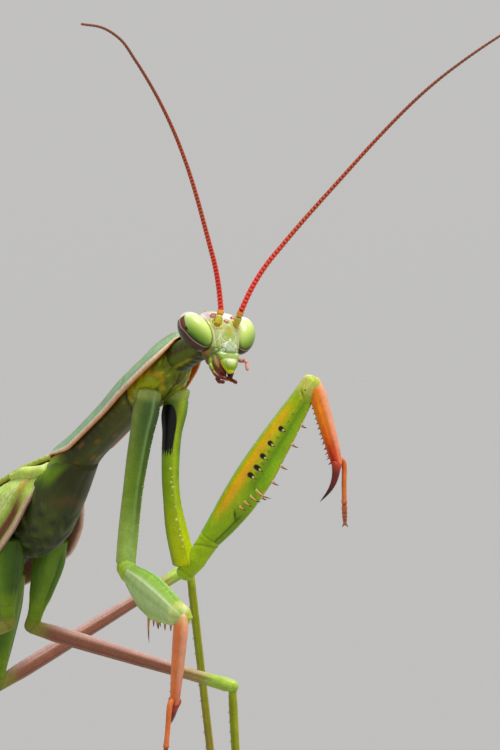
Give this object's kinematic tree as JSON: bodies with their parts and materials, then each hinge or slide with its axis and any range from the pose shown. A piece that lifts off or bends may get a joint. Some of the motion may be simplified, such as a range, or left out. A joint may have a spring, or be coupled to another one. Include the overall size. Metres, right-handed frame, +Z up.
{
  "type": "praying mantis",
  "caption": "Praying mantis standing with its front part raised, the forelegs hanging with one femur lifted and the other held level, wings folded over the abdomen.",
  "frame": {"origin": "middle of the standing animal's footprint box, feelers and feet included, at the level of the soles", "axes": "+Z up, the animal faces -Y, +X is its left side"},
  "size_m": [0.0422, 0.0674, 0.053],
  "materials": {
    "shield": "satin, bluish green",
    "body": "satin, dark olive green",
    "belly": "satin, yellow olive green",
    "head": "smooth, pale green",
    "eye": "glossy, bright yellow green",
    "mouth": "satin, maroon brown",
    "feeler": "satin, red to brown",
    "feeler_base": "satin, yellow ochre",
    "foreleg": "smooth, leaf green",
    "fore_tibia": "smooth, salmon orange",
    "leg": "satin, brownish pink",
    "hip": "satin, green",
    "wing": "satin, pale yellow green",
    "hindwing": "satin, smoky straw"
  },
  "bodies": {
    "root": {"front_abdomen": "belly", "front_chest": "belly", "head": "head", "left_antenna": "feeler", "left_antenna_base": "feeler_base", "left_eye": "eye", "left_fore_coxa": "foreleg", "left_fore_femur": "foreleg", "left_fore_foot": "fore_tibia", "left_fore_tibia": "fore_tibia", "left_fore_trochanter": "foreleg", "left_forewing": "wing", "left_hind_coxa": "hip", "left_hind_femur": "leg", "left_hind_foot": "leg", "left_hind_tibia": "leg", "left_hind_trochanter": "hip", "left_hindwing": "hindwing", "left_jaw": "mouth", "left_jaw_palp": "mouth", "left_lip_palp": "mouth", "left_mid_coxa": "hip", "left_mid_femur": "leg", "left_mid_foot": "leg", "left_mid_tibia": "leg", "left_mid_trochanter": "hip", "left_tail_feeler": "belly", "lower_lip": "mouth", "middle_abdomen": "belly", "middle_chest": "body", "neck": "belly", "neck_shield": "shield", "rear_abdomen": "belly", "rear_chest": "body", "right_antenna": "feeler", "right_antenna_base": "feeler_base", "right_eye": "eye", "right_fore_coxa": "foreleg", "right_fore_femur": "foreleg", "right_fore_foot": "fore_tibia", "right_fore_tibia": "fore_tibia", "right_fore_trochanter": "foreleg", "right_forewing": "wing", "right_hind_coxa": "hip", "right_hind_femur": "leg", "right_hind_foot": "leg", "right_hind_tibia": "leg", "right_hind_trochanter": "hip", "right_hindwing": "hindwing", "right_jaw": "mouth", "right_jaw_palp": "mouth", "right_lip_palp": "mouth", "right_mid_coxa": "hip", "right_mid_femur": "leg", "right_mid_foot": "leg", "right_mid_tibia": "leg", "right_mid_trochanter": "hip", "right_tail_feeler": "belly", "upper_lip": "head"}
  },
  "joints": []
}
